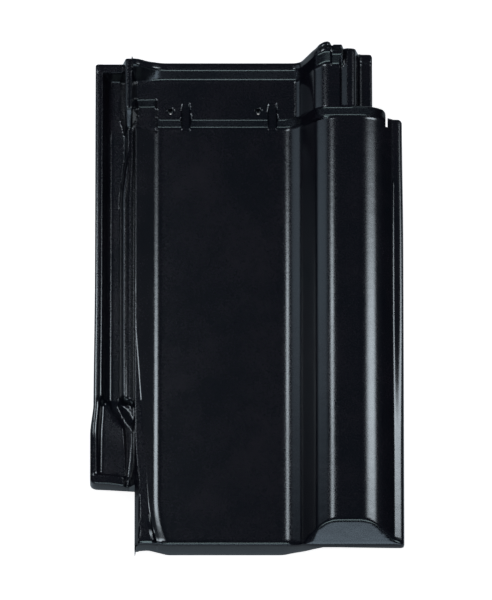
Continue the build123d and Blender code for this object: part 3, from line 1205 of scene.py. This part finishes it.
@dataclass(frozen=True)
class FiredClay:
    """Bare fired clay on the underside, burnt darker in patches."""

    clay: str = "#8a4a33"
    burnt: str = "#5d3527"
    roughness: float = 0.85
    grain_mm: float = 1.6
    grain_depth_mm: float = 0.3
    relief: float = 0.6
    patch_mm: float = 38.0

    def build(self) -> bpy.types.Material:
        """Makes the bare clay material.

        Returns:
            The finished material.
        """
        clay = NodeMaterial("fired_clay")
        tone = clay.mixed(clay.noise(self.patch_mm, 4.0, 0.6), self.clay, self.burnt)
        grain = clay.noise(self.grain_mm, 4.0, 0.65)
        normal = clay.bump(grain, self.relief, self.grain_depth_mm, {})
        return clay.finished({"Base Color": tone, "Roughness": self.roughness, "Normal": normal})


def flat_card(name: str, size: Pair, material: bpy.types.Material) -> bpy.types.Object:
    """Puts one flat rectangle into the scene.

    Args:
        name: Name of the card.
        size: Its two sides in metres.
        material: What it is made of.

    Returns:
        The card, level at the origin.
    """
    mesh = bmesh.new()
    bmesh.ops.create_grid(mesh, x_segments=1, y_segments=1, size=0.5)
    bmesh.ops.scale(mesh, vec=(*size, 1.0), verts=mesh.verts)
    data = bpy.data.meshes.new(name)
    mesh.to_mesh(data)
    mesh.free()
    data.materials.append(material)
    card = bpy.data.objects.new(name, data)
    bpy.context.collection.objects.link(card)
    return card


def hang(card: bpy.types.Object, place: Triple, turn: Triple) -> None:
    """Places a card where only the glaze mirrors it.

    Args:
        card: The card.
        place: Its middle in metres.
        turn: Its turns about X, Y and Z in degrees.
    """
    card.location = place
    card.rotation_euler = [math.radians(angle) for angle in turn]
    card.visible_camera = False
    card.visible_diffuse = False
    card.visible_shadow = False


@dataclass(frozen=True)
class SoftBox:
    """One soft studio lamp, aimed at the tile and not mirrored in it."""

    name: str
    place: Triple
    size: Pair
    radiance: float
    aim: Triple = (0.0, 0.0, 0.05)

    def build(self) -> None:
        """Makes the lamp, with its power worked out from its radiance and area."""
        lamp = bpy.data.lights.new(self.name, "AREA")
        lamp.shape = "RECTANGLE"
        lamp.size, lamp.size_y = self.size
        lamp.energy = self.radiance * math.pi * self.size[0] * self.size[1]
        holder = bpy.data.objects.new(self.name, lamp)
        holder.location = self.place
        look = Vector(self.aim) - Vector(self.place)
        holder.rotation_euler = look.to_track_quat("-Z", "Y").to_euler()
        holder.visible_glossy = False
        bpy.context.collection.objects.link(holder)


@dataclass(frozen=True)
class LightPanel:
    """One panel that the glaze mirrors, brightest in its middle.

    Attributes:
        name: Name of the panel.
        place: Its middle in metres.
        size: Its two sides in metres, across and along.
        lean: Turns about the X and the Y axis in degrees, from facing straight down.
        radiance: Brightness in the middle.
        fade: Length over which it darkens towards its sides and its ends, in metres.
        tint: Colour of its light.
    """

    name: str
    place: Triple
    size: Pair
    lean: Pair
    radiance: float
    fade: Pair
    tint: str = "#e9f6ff"

    def build(self) -> None:
        """Makes the panel and its glowing surface."""
        glow = NodeMaterial(self.name)
        axes = glow.add_node("SeparateXYZ", {0: glow.place()})
        strength: object = self.radiance
        for axis, size, fade in zip(axes, self.size, self.fade):
            off = glow.math("ABSOLUTE", axis)
            limits = {"Value": off, "From Min": (size - fade) / 2, "From Max": size / 2}
            limits.update({"To Min": 1.0, "To Max": 0.0})
            share = glow.add_node("MapRange", limits, interpolation_type="SMOOTHSTEP")[0]
            strength = glow.math("MULTIPLY", share, strength)
        dark, tint = linear("#000000"), linear(self.tint)
        glow.finished({"Base Color": dark, "Emission Color": tint, "Emission Strength": strength})
        hang(flat_card(self.name, self.size, glow.material), self.place, (*self.lean, 0.0))


@dataclass(frozen=True)
class Studio:
    """Floor, lamps, world and camera."""

    image_height: int = 600
    mm_per_pixel: float = 0.8955
    view_elevation: float = 68.5
    distance: float = 15.0
    sensor: float = 36.0
    aim: Triple = (-0.0009, 0.0038, 0.0253)
    floor_size: float = 12.0
    floor_white: float = 0.95
    floor_mirrored: float = 0.3
    room: str = "#3a424c"
    lamps: tuple[SoftBox, ...] = (
        SoftBox("soft_key", (-0.5, 0.6, 1.6), (0.9, 0.9), 1.6),
        SoftBox("soft_fill", (0.7, -0.7, 1.5), (0.9, 0.9), 0.8),
    )
    panels: tuple[LightPanel, ...] = (
        LightPanel("left_strip_far", (-0.46, 0.5, 1.33), (0.44, 0.36), (0, -18), 15, (0.34, 0.28)),
        LightPanel("left_strip_near", (-0.46, 0.29, 1.33), (0.44, 0.22), (0, -18), 13, (0.34, 0.14)),
        LightPanel("right_box", (1.085, 0.48, 1.15), (1.05, 0.58), (0, 42), 15, (0.7, 0.58)),
        LightPanel("left_card", (-1.3, 0.68, 0.8), (1.5, 0.8), (0, -60), 1.3, (0.8, 0.7), "#d4ecff"),
        LightPanel("front_card", (0.0, -1.6, 0.18), (2.6, 0.3), (90, 0), 3.6, (0.4, 0.05), "#d4ecff"),
        LightPanel("front_top", (0.0, -1.2, 1.15), (1.8, 0.6), (47, 0), 5.0, (0.4, 0.2), "#d4f0f4"),
    )

    def floor(self) -> None:
        """Makes the pale floor, white in the camera, dimmer and cooler in the glaze."""
        pale = NodeMaterial("pale_floor")
        path = pale.add_node("LightPath", {})
        mirrored = path["Is Glossy Ray"]
        seen = pale.math("ADD", path["Is Camera Ray"], path["Is Transmission Ray"])
        lift = pale.math("MULTIPLY", seen, self.floor_white)
        pale.finished(
            {
                "Base Color": linear("#f4f5f6"), "Roughness": 0.9, "Specular IOR Level": 0.0,
                "Emission Color": pale.mixed(mirrored, "#ffffff", "#d6efff"),
                "Emission Strength": pale.math("MULTIPLY_ADD", mirrored, self.floor_mirrored, lift),
            }
        )
        flat_card("studio_floor", (self.floor_size, self.floor_size), pale.material)

    def world(self) -> None:
        """Makes the even, dim room that the glaze mirrors."""
        world = bpy.data.worlds.new("studio_room")
        bpy.context.scene.world = world
        world.use_nodes = True
        back = next(node for node in world.node_tree.nodes if node.type == "BACKGROUND")
        back.inputs["Color"].default_value = linear(self.room)

    def flags(self) -> None:
        """Makes dark cards beside the tile, seen only in its reflections."""
        black = NodeMaterial("black_card").finished(
            {"Base Color": linear("#101216"), "Roughness": 1.0, "Specular IOR Level": 0.0}
        )
        for name, x in (("side_card_left", -0.34), ("side_card_right", 0.34)):
            hang(flat_card(name, (1.8, 0.1), black), (x, 0.0, 0.055), (90.0, 0.0, 90.0))

    def camera(self) -> None:
        """Makes the camera at the photograph's viewing angle."""
        lens = bpy.data.cameras.new("camera")
        lens.sensor_width = self.sensor
        lens.lens = self.sensor * self.distance / (self.image_height * self.mm_per_pixel * MM)
        lens.clip_end = 100.0
        holder = bpy.data.objects.new("camera", lens)
        tilt = math.radians(self.view_elevation)
        back = Vector((0.0, -math.cos(tilt), math.sin(tilt)))
        holder.location = Vector(self.aim) + back * self.distance
        holder.rotation_euler = (-back).to_track_quat("-Z", "Y").to_euler()
        bpy.context.collection.objects.link(holder)
        bpy.context.scene.camera = holder

    def build(self) -> None:
        """Makes everything in the studio."""
        self.floor()
        self.flags()
        self.world()
        for light in (*self.lamps, *self.panels):
            light.build()
        self.camera()
        bpy.context.scene.view_settings.view_transform = "Standard"


def main() -> None:
    """Builds the tile and its studio."""
    logging.basicConfig(level=logging.INFO, format="%(name)s: %(message)s")
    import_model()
    tile = PressedTile().build()
    tile.data.materials.append(BlackGlaze().build())
    tile.data.materials.append(FiredClay().build())
    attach(tile, "root")
    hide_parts("roof_tile")
    Studio().build()
    bpy.context.view_layer.update()


if __name__ == "__main__":
    main()
